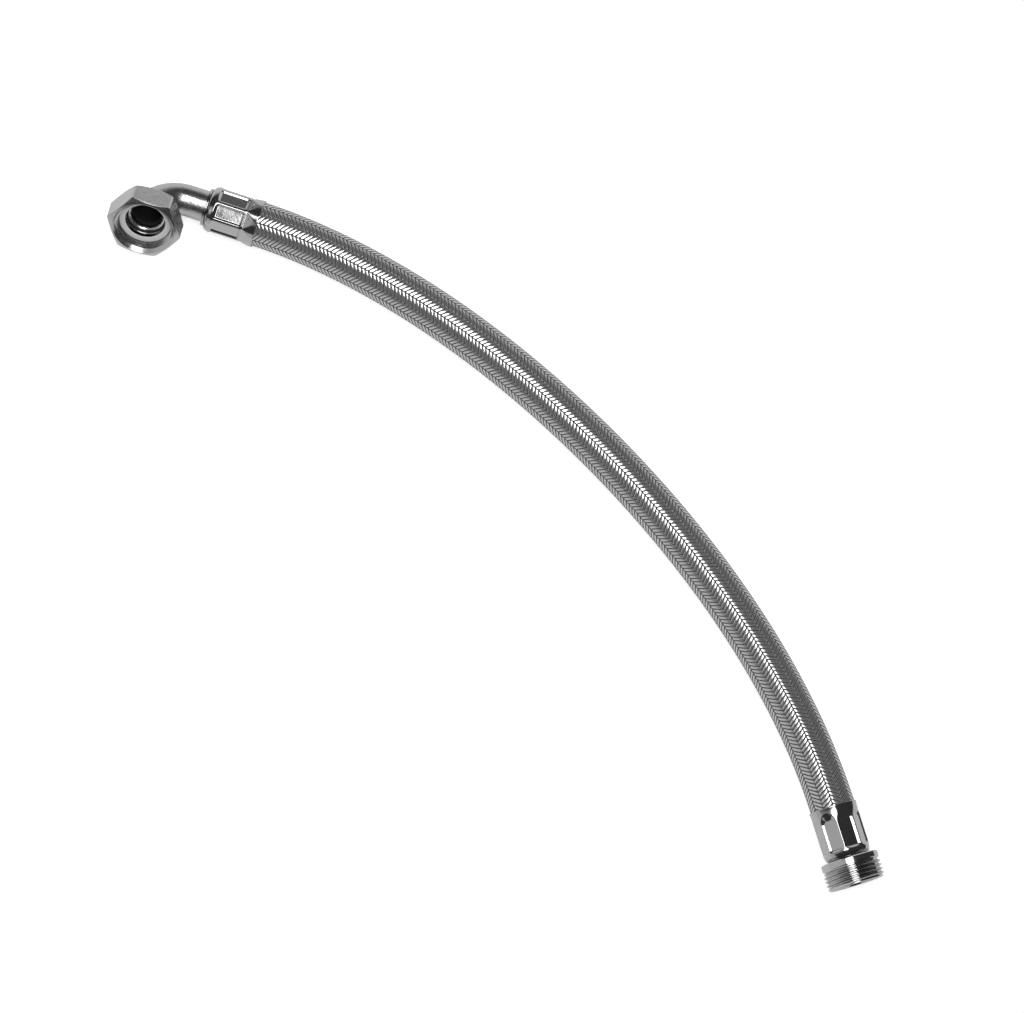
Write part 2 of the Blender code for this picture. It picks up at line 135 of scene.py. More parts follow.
def spin(profile, sides):
    angle = np.linspace(0, math.tau, sides + 1)
    radius, height = np.array(profile).T
    columns = np.zeros((sides + 1, len(profile), 3))
    columns[..., 0] = np.cos(angle)[:, None] * radius
    columns[..., 1] = np.sin(angle)[:, None] * radius
    columns[..., 2] = height
    return turnedGrid(columns)


def newGroup(name, inputs, outputs):
    group = bpy.data.node_groups.new(name, "ShaderNodeTree")
    for label, kind, value in inputs:
        socket = group.interface.new_socket(label, in_out="INPUT", socket_type=kind)
        if value is not None:
            socket.default_value = value
    for label, kind in outputs:
        group.interface.new_socket(label, in_out="OUTPUT", socket_type=kind)
    start = group.nodes.new("NodeGroupInput")
    end = group.nodes.new("NodeGroupOutput")
    return group, start, end


def mathNode(tree, operation, a, b=None, c=None):
    node = tree.nodes.new("ShaderNodeMath")
    node.operation = operation
    for socket, value in zip(node.inputs, (a, b, c)):
        if value is None:
            continue
        if isinstance(value, (int, float)):
            socket.default_value = value
        else:
            tree.links.new(value, socket)
    return node.outputs[0]


# Shared effects of the finishes

noiseSpan = (0.3, 0.7)  # most of the noise lies between these


def noiseOn(group, start, detail):  # noise at the place and scale that the group is given
    noise = group.nodes.new("ShaderNodeTexNoise")
    noise.inputs["Detail"].default_value = detail
    group.links.new(start.outputs["Place"], noise.inputs["Vector"])
    group.links.new(start.outputs["Scale"], noise.inputs["Scale"])
    return noise


def reliefFrom(group, start, end, height):  # the normal of a height, as deep as the group is told
    bump = group.nodes.new("ShaderNodeBump")
    bump.inputs["Strength"].default_value = 1.0
    group.links.new(height, bump.inputs["Height"])
    group.links.new(start.outputs["Depth"], bump.inputs["Distance"])
    group.links.new(bump.outputs["Normal"], end.inputs["Normal"])


def makeDrift():  # slow change of a value over the surface, between a low and a high
    group, start, end = newGroup(
        "finishDrift",
        [("Place", "NodeSocketVector", None), ("Scale", "NodeSocketFloat", 120.0),
         ("Low", "NodeSocketFloat", 0.1), ("High", "NodeSocketFloat", 0.2)],
        [("Value", "NodeSocketFloat")],
    )
    noise = noiseOn(group, start, 3.0)
    span = group.nodes.new("ShaderNodeMapRange")
    span.inputs["From Min"].default_value, span.inputs["From Max"].default_value = noiseSpan
    group.links.new(noise.outputs["Fac"], span.inputs["Value"])
    group.links.new(start.outputs["Low"], span.inputs["To Min"])
    group.links.new(start.outputs["High"], span.inputs["To Max"])
    group.links.new(span.outputs["Result"], end.inputs["Value"])
    return group


def makeTone():  # metal or rubber colour with pale and dull patches
    group, start, end = newGroup(
        "surfaceTone",
        [("Place", "NodeSocketVector", None), ("Scale", "NodeSocketFloat", 90.0),
         ("Colour", "NodeSocketColor", None), ("Dull", "NodeSocketColor", None)],
        [("Colour", "NodeSocketColor")],
    )
    noise = noiseOn(group, start, 4.0)
    noise.inputs["Roughness"].default_value = 0.6
    mix = group.nodes.new("ShaderNodeMix")
    mix.data_type = "RGBA"
    group.links.new(noise.outputs["Fac"], mix.inputs["Factor"])
    group.links.new(start.outputs["Colour"], mix.inputs["A"])
    group.links.new(start.outputs["Dull"], mix.inputs["B"])
    group.links.new(mix.outputs["Result"], end.inputs["Colour"])
    return group


def makeSkin():  # faint waviness of a pressed or plated surface
    group, start, end = newGroup(
        "skinRipple",
        [("Place", "NodeSocketVector", None), ("Scale", "NodeSocketFloat", 900.0),
         ("Depth", "NodeSocketFloat", 0.00001)],
        [("Normal", "NodeSocketVector")],
    )
    reliefFrom(group, start, end, noiseOn(group, start, 2.0).outputs["Fac"])
    return group


def makeTurning():  # fine rings that a lathe tool leaves about the piece's own axis
    group, start, end = newGroup(
        "turningRings",
        [("Place", "NodeSocketVector", None), ("Scale", "NodeSocketFloat", 4000.0),
         ("Depth", "NodeSocketFloat", 0.000004)],
        [("Normal", "NodeSocketVector")],
    )
    split = group.nodes.new("ShaderNodeSeparateXYZ")
    group.links.new(start.outputs["Place"], split.inputs["Vector"])
    x, y, z = split.outputs
    squares = mathNode(group, "MULTIPLY_ADD", y, y, mathNode(group, "MULTIPLY", x, x))
    sweep = mathNode(group, "ADD", mathNode(group, "SQRT", squares), z)
    noise = group.nodes.new("ShaderNodeTexNoise")
    noise.noise_dimensions = "1D"
    noise.inputs["Detail"].default_value = 2.0
    group.links.new(sweep, noise.inputs["W"])
    group.links.new(start.outputs["Scale"], noise.inputs["Scale"])
    reliefFrom(group, start, end, noise.outputs["Fac"])
    return group


effects = {"drift": makeDrift(), "tone": makeTone(), "skin": makeSkin(), "turning": makeTurning()}


def finishMaterial(name, finish):
    material = bpy.data.materials.new(name)
    material.use_nodes = True
    tree = material.node_tree
    shader = tree.nodes["Principled BSDF"]
    shader.inputs["Metallic"].default_value = finish["metallic"]
    own = tree.nodes.new("ShaderNodeAttribute")
    own.attribute_name = "own"
    place = own.outputs["Vector"]

    def effect(key, **values):
        node = tree.nodes.new("ShaderNodeGroup")
        node.node_tree = effects[key]
        tree.links.new(place, node.inputs["Place"])
        for label, value in values.items():
            node.inputs[label].default_value = value
        return node.outputs[0]

    colour, dull = (*finish["colour"], 1), (*finish["dull"], 1)
    tone = effect("tone", Scale=finish["toneScale"], Colour=colour, Dull=dull)
    tree.links.new(tone, shader.inputs["Base Color"])
    low, high = finish["rough"]
    drift = effect("drift", Scale=finish["roughScale"], Low=low, High=high)
    tree.links.new(drift, shader.inputs["Roughness"])
    if "relief" in finish:
        key, scale, depth = finish["relief"]
        tree.links.new(effect(key, Scale=scale, Depth=depth), shader.inputs["Normal"])
    if "groove" in finish:  # painted shade between the strands and on their edges, where the mesh says so; there the surface is dark and not metal
        shade = tree.nodes.new("ShaderNodeAttribute")
        shade.attribute_name = "shade"
        mix = tree.nodes.new("ShaderNodeMix")
        mix.data_type = "RGBA"
        tree.links.new(shade.outputs["Fac"], mix.inputs["Factor"])
        tree.links.new(tone, mix.inputs["A"])
        mix.inputs["B"].default_value = (*finish["groove"], 1)
        tree.links.new(mix.outputs["Result"], shader.inputs["Base Color"])
        bare = mathNode(tree, "MULTIPLY_ADD", shade.outputs["Fac"], -finish["metallic"], finish["metallic"])
        tree.links.new(bare, shader.inputs["Metallic"])
    return material


# Where the line lies: the same values as the solids have

lay = {
    "freeLength": 473.4 * mm,
    "elbowHeading": math.radians(161.6),
    "elbowRoll": math.radians(42.5),
    "nippleHeading": math.radians(-72.8),
    "nipplePitch": math.radians(3.0),
    "sway": math.radians(-27.5),
    "centre": (18.0 * mm, 3.0 * mm),
    "hoseRadius": 12.75 * mm,
    "floorGap": 0.05 * mm,
    "riseRun": 90.0 * mm,
    "ferruleLength": 29.5 * mm,
    "bellRadius": 13.75 * mm,
    "nippleCollar": 16.45 * mm,
    "steps": 1440,
    "pathSteps": 96,  # of the cord's own path
}


def hoseLine():  # middle of the free hose, from the elbow's bell to the nipple's, and the fittings' frames
    count = lay["steps"]
    start = lay["elbowHeading"] - math.pi
    half = (np.arange(count) + 0.5) / count
    sway = half * (1 - half) * (1 - 2 * half)
    heading = start + (lay["nippleHeading"] - start) * half + lay["sway"] * sway
    step = lay["freeLength"] / count
    plan = np.zeros((count + 1, 2))
    plan[1:, 0] = np.cumsum(np.cos(heading)) * step
    plan[1:, 1] = np.cumsum(np.sin(heading)) * step

    reach = lay["ferruleLength"]
    elbowEnd = plan[0] + np.array(wayTo(lay["elbowHeading"]))[:2] * reach
    nippleEnd = plan[-1] + np.array(wayTo(lay["nippleHeading"], lay["nipplePitch"]))[:2] * reach
    shift = np.array(lay["centre"]) - (elbowEnd + nippleEnd) / 2

    rest = lay["hoseRadius"] + lay["floorGap"]
    nippleMouth = lay["nippleCollar"] - reach * math.sin(lay["nipplePitch"])
    share = np.arange(count + 1) / count
    height = np.full(count + 1, rest)
    for away, mouth, pitch in ((share, lay["bellRadius"], 0), (1 - share, nippleMouth, lay["nipplePitch"])):
        run = np.minimum(away * lay["freeLength"] / lay["riseRun"], 1)
        slope = math.tan(pitch) * lay["riseRun"]
        height += (1 - run) ** 2 * ((mouth - rest) * (1 + 2 * run) - slope * run)
    line = np.column_stack([plan + shift, height])
    elbow = fittingFrame(elbowEnd + shift, lay["bellRadius"], lay["elbowHeading"], 0)
    nipple = fittingFrame(nippleEnd + shift, lay["nippleCollar"], lay["nippleHeading"], lay["nipplePitch"])
    return line, elbow, nipple


hoseMiddle, elbowFrame, nippleFrame = hoseLine()
print("stage: hose laid, elbow end", [round(x, 4) for x in elbowFrame.translation])


# Camera at the photograph's angle

cameraSetup = {
    "elevation": math.radians(85.0),
    "distance": 3.0,
    "scale": 0.0005607,  # metres across one pixel at the target
    "pixels": 1024,  # across the picture
    "target": (0.009532, 0.016885, 0.01275),
    "sensor": 36.0,
    "farEnd": 50.0,
}


def placeCamera():
    up = cameraSetup["elevation"]
    data = bpy.data.cameras.new("studioCamera")
    data.sensor_fit = "HORIZONTAL"
    data.sensor_width = cameraSetup["sensor"]
    across = cameraSetup["pixels"] * cameraSetup["scale"]
    data.lens = cameraSetup["sensor"] * cameraSetup["distance"] / across
    data.clip_end = cameraSetup["farEnd"]
    camera = addObject("studioCamera", data)
    away = Vector((0, -math.cos(up), math.sin(up)))
    camera.location = Vector(cameraSetup["target"]) + away * cameraSetup["distance"]
    camera.rotation_euler = (math.pi / 2 - up, 0, 0)
    bpy.context.scene.camera = camera


placeCamera()


# Light: a tall wall at the left, a low band from left to front, a dim one at the back, a lamp overhead

light = {
    "wallWay": math.radians(-177.5),  # heading of the wall's middle
    "wallHalf": math.radians(22.0),
    "wallTop": (0.97, 0.92),  # the wall fades out between these heights of a unit direction
    "wall": 0.74,
    "bandWay": math.radians(-145.0),
    "bandHalf": math.radians(55.0),
    "bandTop": (0.46, 0.28),
    "band": 0.7,
    "backWay": math.radians(80.0),
    "backHalf": math.radians(45.0),
    "backTop": (0.3, 0.1),
    "back": 0.42,
    "dark": 0.05,  # the rest of the room
    "edge": 0.06,  # softness of the panels' sides
    "fill": 0.42,  # light from all round on dull surfaces
    "lampPlace": (0.035, 0.325, 2.0),
    "lampSize": (0.9, 1.55),
    "lampPower": 25.5,
    "floorSize": 14.0,
    "floorRight": 0.262,  # the white sheet ends here
    "floorColour": (0.9, 0.9, 0.9),
    "floorDrop": 0.02 * mm,
    "cameraGlow": 0.56,  # whitens the sheet for the camera alone
}


def softStep(tree, value, zero, one):  # a smooth step between the values where it is 0 and 1
    span = tree.nodes.new("ShaderNodeMapRange")
    span.interpolation_type = "SMOOTHSTEP"
    ends = (zero, one, 0, 1) if zero < one else (one, zero, 1, 0)
    for label, end in zip(("From Min", "From Max", "To Min", "To Max"), ends):
        span.inputs[label].default_value = end
    tree.links.new(value, span.inputs["Value"])
    return span.outputs["Result"]


def panelMask(tree, split, name):  # 1 in the directions of a panel of the room
    x, y, z = split.outputs
    way, half = light[name + "Way"], light[name + "Half"]
    towards = mathNode(tree, "MULTIPLY_ADD", y, math.sin(way), mathNode(tree, "MULTIPLY", x, math.cos(way)))
    level = mathNode(tree, "SQRT", mathNode(tree, "MULTIPLY_ADD", x, x, mathNode(tree, "MULTIPLY", y, y)))
    sides = mathNode(tree, "MULTIPLY_ADD", level, -math.cos(half), towards)
    across = softStep(tree, sides, -light["edge"], light["edge"])
    return mathNode(tree, "MULTIPLY", across, softStep(tree, z, *light[name + "Top"]))


def lightRoom():
    world = bpy.data.worlds.new("studio")
    bpy.context.scene.world = world
    world.use_nodes = True
    tree = world.node_tree
    tree.nodes.clear()
    out = tree.nodes.new("ShaderNodeOutputWorld")
    way = tree.nodes.new("ShaderNodeTexCoord").outputs["Generated"]
    split = tree.nodes.new("ShaderNodeSeparateXYZ")
    tree.links.new(way, split.inputs["Vector"])
    strength = light["dark"]
    for name in ("wall", "band", "back"):
        panel = mathNode(tree, "MULTIPLY", panelMask(tree, split, name), light[name])
        strength = mathNode(tree, "MAXIMUM", panel, strength)
    room = tree.nodes.new("ShaderNodeBackground")
    tree.links.new(strength, room.inputs["Strength"])
    fill = tree.nodes.new("ShaderNodeBackground")
    fill.inputs["Strength"].default_value = light["fill"]
    plain = tree.nodes.new("ShaderNodeBackground")
    for node in (room, fill, plain):
        node.inputs["Color"].default_value = (1, 1, 1, 1)
    rays = tree.nodes.new("ShaderNodeLightPath")
    mirrored = tree.nodes.new("ShaderNodeMixShader")
    tree.links.new(rays.outputs["Is Glossy Ray"], mirrored.inputs["Fac"])
    tree.links.new(fill.outputs["Background"], mirrored.inputs[1])
    tree.links.new(room.outputs["Background"], mirrored.inputs[2])
    seen = tree.nodes.new("ShaderNodeMixShader")
    tree.links.new(rays.outputs["Is Camera Ray"], seen.inputs["Fac"])
    tree.links.new(mirrored.outputs["Shader"], seen.inputs[1])
    tree.links.new(plain.outputs["Background"], seen.inputs[2])
    tree.links.new(seen.outputs["Shader"], out.inputs["Surface"])

    lamp = bpy.data.lights.new("overhead", "AREA")
    lamp.shape = "RECTANGLE"
    lamp.size, lamp.size_y = light["lampSize"]
    lamp.energy = light["lampPower"]
    addObject("overhead", lamp).location = light["lampPlace"]


def layFloor():
    half = light["floorSize"] / 2
    low = -light["floorDrop"]
    right = light["floorRight"]
    corners = [(-half, -half, low), (right, -half, low), (right, half, low), (-half, half, low)]
    mesh = bpy.data.meshes.new("floor")
    mesh.from_pydata(corners, [], [(0, 1, 2, 3)])
    floor = addObject("floor", mesh)
    material = bpy.data.materials.new("floorPaper")
    material.use_nodes = True
    tree = material.node_tree
    tree.nodes.clear()
    out = tree.nodes.new("ShaderNodeOutputMaterial")
    paper = tree.nodes.new("ShaderNodeBsdfDiffuse")
    paper.inputs["Color"].default_value = (*light["floorColour"], 1)
    glow = tree.nodes.new("ShaderNodeEmission")
    rays = tree.nodes.new("ShaderNodeLightPath")
    strength = mathNode(tree, "MULTIPLY", rays.outputs["Is Camera Ray"], light["cameraGlow"])
    tree.links.new(strength, glow.inputs["Strength"])
    both = tree.nodes.new("ShaderNodeAddShader")
    tree.links.new(paper.outputs["BSDF"], both.inputs[0])
    tree.links.new(glow.outputs["Emission"], both.inputs[1])
    tree.links.new(both.outputs["Shader"], out.inputs["Surface"])
    mesh.materials.append(material)


lightRoom()
layFloor()
bpy.context.scene.view_settings.view_transform = "Standard"
print("stage: camera, light and floor set")


# Finishes: two colours, how rough and, for relief, its kind, scale and depth

def grey(value):
    return value, value, value


finishes = {
    # wire: its groove colour is painted shade between and along the strands
    "wire": {"colour": grey(0.58), "dull": grey(0.5), "toneScale": 300.0, "metallic": 0.84,
             "rough": (0.12, 0.17), "roughScale": 260.0, "groove": grey(0.07)},
    "rubber": {"colour": grey(0.02), "dull": (0.035, 0.035, 0.034), "toneScale": 200.0, "metallic": 0.0,
               "rough": (0.6, 0.8), "roughScale": 300.0, "relief": ("skin", 1500.0, 0.03 * mm)},
    "stainless": {"colour": grey(0.47), "dull": grey(0.42), "toneScale": 110.0, "metallic": 1.0,
                  "rough": (0.1, 0.16), "roughScale": 150.0, "relief": ("skin", 700.0, 0.016 * mm)},
    "chrome": {"colour": grey(0.49), "dull": grey(0.45), "toneScale": 110.0, "metallic": 1.0,
               "rough": (0.2, 0.3), "roughScale": 150.0, "relief": ("skin", 350.0, 0.06 * mm)},
    "turnedChrome": {"colour": grey(0.49), "dull": grey(0.45), "toneScale": 110.0, "metallic": 1.0,
                     "rough": (0.09, 0.15), "roughScale": 150.0, "relief": ("turning", 5000.0, 0.004 * mm)},
    "tubeChrome": {"colour": grey(0.49), "dull": grey(0.43), "toneScale": 160.0, "metallic": 1.0,
                   "rough": (0.22, 0.3), "roughScale": 220.0, "relief": ("skin", 700.0, 0.08 * mm)},
    # a brighter copy of the chrome: painted reflection on the mouth's lip
    "litLipChrome": {"colour": grey(0.8), "dull": grey(0.74), "toneScale": 160.0, "metallic": 1.0,
                  "rough": (0.2, 0.28), "roughScale": 220.0, "relief": ("skin", 700.0, 0.01 * mm)},
    # painted shade: the black of the step and the bore inside the seal
    "paintedBoreShade": {"colour": grey(0.012), "dull": (0.02, 0.019, 0.018), "toneScale": 150.0, "metallic": 0.0,
                  "rough": (0.5, 0.7), "roughScale": 200.0},
    "sealFibre": {"colour": grey(0.7), "dull": grey(0.64), "toneScale": 500.0, "metallic": 0.0,
                  "rough": (0.55, 0.75), "roughScale": 400.0, "relief": ("skin", 2500.0, 0.02 * mm)},
}
looks = {name: finishMaterial(name, finish) for name, finish in finishes.items()}
print("stage: finishes made")


# Hose: rubber liner in two lays of wire strands

braid = {
    "strands": 21,  # in each lay
    "rows": 14,  # rows of floats round the hose, the two lays on top in turn
    "firstRow": math.radians(-1.7),
    "elbowTwist": math.radians(-3.5),  # the rows turn this far towards the elbow
    "rowPoints": (0, 0.04, 0.09, 0.2, 0.4, 0.6, 0.8, 0.91, 0.96),  # a strand's points, as shares of a row
    "lead": 50.2 * mm,  # length in which a strand goes once round
    "top": 12.75 * mm,  # outermost wires
    "lift": 0.17 * mm,  # a strand rides this far over and under the middle of the weave
    "dive": 8.0,  # how sharply it dives between two rows
    "width": 1.84 * mm,
    "section": ((0.27, 0.0), (0.44, 0.06 * mm), (0.5, 0.3 * mm)),  # shares of the width, and the fall there
    "shadeFrom": 0.98,  # how far up a strand still rides where the painted shade starts
    "shadeRun": 0.1,
    "tuck": 5.0 * mm,  # runs this far into each ferrule
    "spare": 3.0 * mm,  # and the middle line this much further
}


def hoseFrames():  # the hose's middle run on into both ferrules, with its up and side directions
    into = braid["tuck"] + braid["spare"]
    elbowWay = np.array(elbowFrame.col[2].xyz)
    nippleWay = np.array(nippleFrame.col[2].xyz)
    line = np.vstack([hoseMiddle[0] + into * elbowWay, hoseMiddle, hoseMiddle[-1] + into * nippleWay])
    along = np.concatenate([[0], np.cumsum(np.linalg.norm(np.diff(line, axis=0), axis=1))]) - into
    ahead = np.gradient(line, along, axis=0)
    ahead /= np.linalg.norm(ahead, axis=1)[:, None]
    side = np.column_stack([-ahead[:, 1], ahead[:, 0], np.zeros(len(line))])
    side /= np.linalg.norm(side, axis=1)[:, None]
    up = np.cross(ahead, side)
    return along, line, up, side


hoseAlong, hosePoints, hoseUp, hoseSide = hoseFrames()


def onHose(along, angle, radius):  # point at a length along the hose, an angle from its top and a radius
    result = np.zeros((*np.shape(along), 3))
    for axis in range(3):
        middle = np.interp(along, hoseAlong, hosePoints[:, axis])
        up = np.interp(along, hoseAlong, hoseUp[:, axis])
        side = np.interp(along, hoseAlong, hoseSide[:, axis])
        result[..., axis] = middle + radius * (np.cos(angle) * up + np.sin(angle) * side)
    return result


def weaveLay(name, hand):  # each strand floats over one row of the weave and dives under the next
    half, fall = np.array(braid["section"]).T
    across, down = np.concatenate([-half[::-1], half]), np.concatenate([fall[::-1], fall])
    width = len(across)
    row, turnsPer = math.tau / braid["rows"], hand * math.tau / braid["lead"]
    slope = math.atan(braid["top"] * abs(turnsPer))
    skew = across * braid["width"] / math.sin(slope)
    edge = np.interp(np.abs(across), half[:2], (0, 1))  # painted shade on a strand's sloping edges
    verts, faces, own, shade = [], [], [], []
    base = 0
    for strand in range(braid["strands"]):
        start = strand * math.tau / braid["strands"] - braid["firstRow"]
        ends = sorted(start + turnsPer * s for s in (-braid["tuck"], lay["freeLength"] + braid["tuck"]))
        rows = np.arange(math.floor(ends[0] / row), math.ceil(ends[1] / row))
        place = (rows[:, None] + np.array(braid["rowPoints"])[None, :]).ravel()
        place = place[(place * row > ends[0]) & (place * row < ends[1])]
        over = hand * np.tanh(braid["dive"] * np.sin(math.pi * place))  # 1 on top of the weave, -1 under it
        s = ((place * row - start) / turnsPer)[:, None] + skew[None, :]
        twist = braid["elbowTwist"] * np.clip(1 - s / lay["freeLength"], 0, 1) ** 2
        angle = (place * row + braid["firstRow"])[:, None] + twist
        radius = (braid["top"] - braid["lift"] * (1 - over))[:, None] - down[None, :]
        # painted shade where a strand dives under the next row
        dip = np.clip((braid["shadeFrom"] - over) / braid["shadeRun"], 0, 1)
        shade.append(np.maximum(edge[None, :], dip[:, None]).ravel())
        verts.append(onHose(s, angle, radius).reshape(-1, 3))
        own.append(np.stack([s, angle * braid["top"], radius], -1).reshape(-1, 3))
        faces += (skinFaces(len(place), width, closed=False) + base).tolist()
        faces.append(list(range(base, base + width)))
        faces.append(list(range(base + s.size - 1, base + s.size - width - 1, -1)))
        base += s.size
    mesh = bpy.data.meshes.new(name)
    mesh.from_pydata(np.concatenate(verts).tolist(), [], faces)
    keepOwn(mesh, np.concatenate(own))
    shades = np.concatenate(shade).astype(np.float32)
    mesh.attributes.new("shade", "FLOAT", "POINT").data.foreach_set("value", shades)
    if hand < 0:
        mesh.flip_normals()
    mesh.shade_smooth()
    mesh.materials.append(looks["wire"])
    return addObject(name, mesh)


liner = {
    "outside": 12.0 * mm,
    "wall": 2.4 * mm,
    "endOutside": 11.5 * mm,  # squeezed in the ferrules
    "full": 5.0 * mm,  # keeps its size this far into each ferrule
    "tuck": 7.0 * mm,
    "sides": 64,
    "steps": 240,
}


def linerTube():
    length, full, tuck = lay["freeLength"], liner["full"], liner["tuck"]
    free = np.linspace(0, length, liner["steps"])
    along = np.concatenate([[-tuck, -full], free, [length + full, length + tuck]])
    outside = np.full(len(along), liner["outside"])
    outside[[0, -1]] = liner["endOutside"]
    rings = list(zip(along, outside)) + list(zip(along[::-1], outside[::-1] - liner["wall"]))
    angle = np.arange(liner["sides"]) * math.tau / liner["sides"]
    loops = [onHose(np.full(len(angle), s), angle, radius) for s, radius in rings]
    return addPiece("hose_liner", loops, skinFaces(len(loops), liner["sides"]), [looks["rubber"]])


rightLay = settle(weaveLay("braid_right_lay", 1), "line", "braid_sleeve", "braid_sleeve")
leftLay = settle(weaveLay("braid_left_lay", -1), "line", "braid_sleeve", "braid_sleeve")
hoseLiner = settle(linerTube(), "line", "inner_tube", "inner_tube")


# Crimped ferrules: a drawn sleeve with eight framed pockets pressed into it

crimp = {
    "dies": 8,
    "body": 13.3 * mm,
    "bell": 13.75 * mm,
    "length": 29.5 * mm,
    "shoulder": (5.0 * mm, 2.4 * mm),  # along and across
    "lip": 8.065 * mm,
    "wall": 0.7 * mm,
    "floor": 11.8 * mm,  # flat of a pocket, from the axis
    "floorStart": 5.6 * mm,
    "floorHalf": 3.15 * mm,
    "startCorner": 0.4 * mm,
    "startSlope": 0.85,
    "barFall": 0.5,  # the bar between pocket and tongue falls this steeply towards the tongue
    "blend": 0.15 * mm,  # rounding of the creases
    "floorBlend": 0.08 * mm,
    "tiny": 0.001 * mm,  # keeps a share from dividing by nothing
    "rim": ((0.06 * mm, 0.1 * mm), (0.2 * mm, 0.0)),  # round of the mouth: inwards and back
    "rimInside": 0.15 * mm,
    "bellInside": 24.0 * mm,  # the bell's inside narrows from this depth
    "gripInside": 11.1 * mm,
    "grip": (2.4 * mm, 21.0 * mm),  # depths between which the inside is narrow
    "gripEdge": 1.2 * mm,
    "shoulderSteps": 9,
    "depths": ((2.5, 6.2, 21), (6.8, 19.2, 11), (19.5, 24.6, 36), (24.9, 29.2, 14)),  # mm, and loops
    "offsets": ((0, 13, 15), (13.6, 16.4, 7), (17, 19.6, 5), (20, 22.5, 7)),  # degrees, and points
    "crease": 50,
}
# A pocket of the elbow's sleeve looks almost up; a rib of the nipple's does
elbowCrimp = {"turn": math.radians(-9.5), "floorEnd": 20.4 * mm, "endCorner": 0.4 * mm, "endSlope": 0.85,
              "sideSlope": 0.8, "tongue": (22.2 * mm, 28.8 * mm), "flare": (18.5 * mm, 29.4 * mm)}
nippleCrimp = {"turn": math.radians(26.5), "floorEnd": 22.6 * mm, "endCorner": 3.0 * mm, "endSlope": 0.45,
               "sideSlope": 0.414, "tongue": None, "flare": (24.0 * mm, 29.4 * mm)}


def crimpRound(depth, style):  # radius of the sleeve before it is pressed, depth counted from the fitting
    along, drop = crimp["shoulder"]
    ahead = np.clip(1 - depth / along, 0, 1)
    first, last = style["flare"]
    share = np.clip((depth - first) / (last - first), 0, 1)
    flare = (crimp["bell"] - crimp["body"]) * share ** 2
    return crimp["body"] - drop * (1 - np.sqrt(1 - ahead ** 2)) + flare


def crimpSkin(depth, offset, style):  # radius once the dies have pressed the sleeve
    across = np.abs(crimp["floor"] * np.tan(offset))
    fittingEnd = (crimp["floorStart"] - depth, crimp["startCorner"], crimp["startSlope"])
    bellEnd = (depth - style["floorEnd"], style["endCorner"], style["endSlope"])
    past, corner, endSlope = max(fittingEnd, bellEnd)  # the pocket's nearer end
    x, y = across - crimp["floorHalf"] + corner, past + corner
    outX, outY = np.maximum(x, 0), np.maximum(y, 0)
    away = np.hypot(outX, outY)
    share = (outY / np.maximum(away, crimp["tiny"])) ** 2
    slope = style["sideSlope"] + (endSlope - style["sideSlope"]) * share
    rise = slope * np.maximum(away - corner, 0)
    pocket = (crimp["floor"] + softMax(rise, 0, crimp["floorBlend"])) / np.cos(offset)
    pressed = softMin(crimpRound(depth, style), pocket, crimp["blend"])
    if style["tongue"]:
        start, end = style["tongue"]
        width = math.pi / crimp["dies"] * max(0, 1 - max(depth - start, 0) / (end - start))
        bar = softMax((start - depth) * crimp["barFall"], 0, crimp["blend"])
        tongue = crimpRound(depth, style) * math.cos(width) + bar
        pressed = softMin(pressed, tongue / np.cos(offset), crimp["blend"])
    return pressed


def crimpInside():  # radius and depth of the sleeve's mouth and inside, from the rim to the lip
    bell, wall, grip, length = crimp["bell"], crimp["wall"], crimp["gripInside"], crimp["length"]
    mouth, inset = bell - wall, crimp["rimInside"]
    gripStart, gripEnd = crimp["grip"]
    return [(bell - inwards, length - back) for inwards, back in crimp["rim"]] + [
        (mouth + inset, length), (mouth, length - inset), (mouth, crimp["bellInside"]), (grip, gripEnd),
        (grip, gripStart), (grip - crimp["gripEdge"], wall), (crimp["lip"], wall),
    ]


def crimpedSleeve(name, place, style):
    offsets = np.concatenate([np.linspace(*run) for run in crimp["offsets"]]) * math.pi / 180
    offsets = np.concatenate([-offsets[:0:-1], offsets[:-1]])
    dies = np.arange(crimp["dies"])[:, None] * math.tau / crimp["dies"]
    angle = (dies + offsets[None, :]).reshape(-1)
    offset = np.tile(offsets, crimp["dies"])

    start = crimp["shoulder"][0] * (1 - np.cos(np.linspace(0, 1, crimp["shoulderSteps"])))
    rows = np.concatenate([np.linspace(*run) for run in crimp["depths"]]) * mm
    loops = [np.full(len(angle), crimp["lip"])]
    heights = [0.0]
    for depth in np.concatenate([start, rows]):
        pressed = crimpSkin(depth, offset, style) if depth > rows[0] else crimpRound(depth, style)
        loops.append(np.broadcast_to(pressed, angle.shape))
        heights.append(-depth)
    for radius, depth in crimpInside():
        loops.append(np.full(len(angle), radius))
        heights.append(-depth)
    verts = np.zeros((len(loops), len(angle), 3))
    for i, (loop, height) in enumerate(zip(loops, heights)):
        verts[i, :, 0] = loop * np.cos(angle + style["turn"])
        verts[i, :, 1] = loop * np.sin(angle + style["turn"])
        verts[i, :, 2] = height
    faces = skinFaces(len(loops), len(angle))
    return addPiece(name, verts, faces, [looks["stainless"]], place, crimp["crease"])


elbowSleeve = crimpedSleeve("elbow_crimp_sleeve", elbowFrame, elbowCrimp)
settle(elbowSleeve, "line", "elbow_ferrule", "elbow_ferrule")
nippleSleeve = crimpedSleeve("nipple_crimp_sleeve", nippleFrame, nippleCrimp)
settle(nippleSleeve, "line", "nipple_ferrule", "nipple_ferrule")


# Hose tails, the same on both fittings

tail = {
    "length": 25.0 * mm,
    "crest": 7.765 * mm,
    "root": 7.265 * mm,
    "bore": 6.065 * mm,
    "barbs": 4,
    "pitch": 4.6 * mm,
    "rise": 0.8,  # share of the pitch on which a barb widens
    "gap": 0.3 * mm,  # between the ferrule's lip and the collar
    "inset": 1.0 * mm,
}


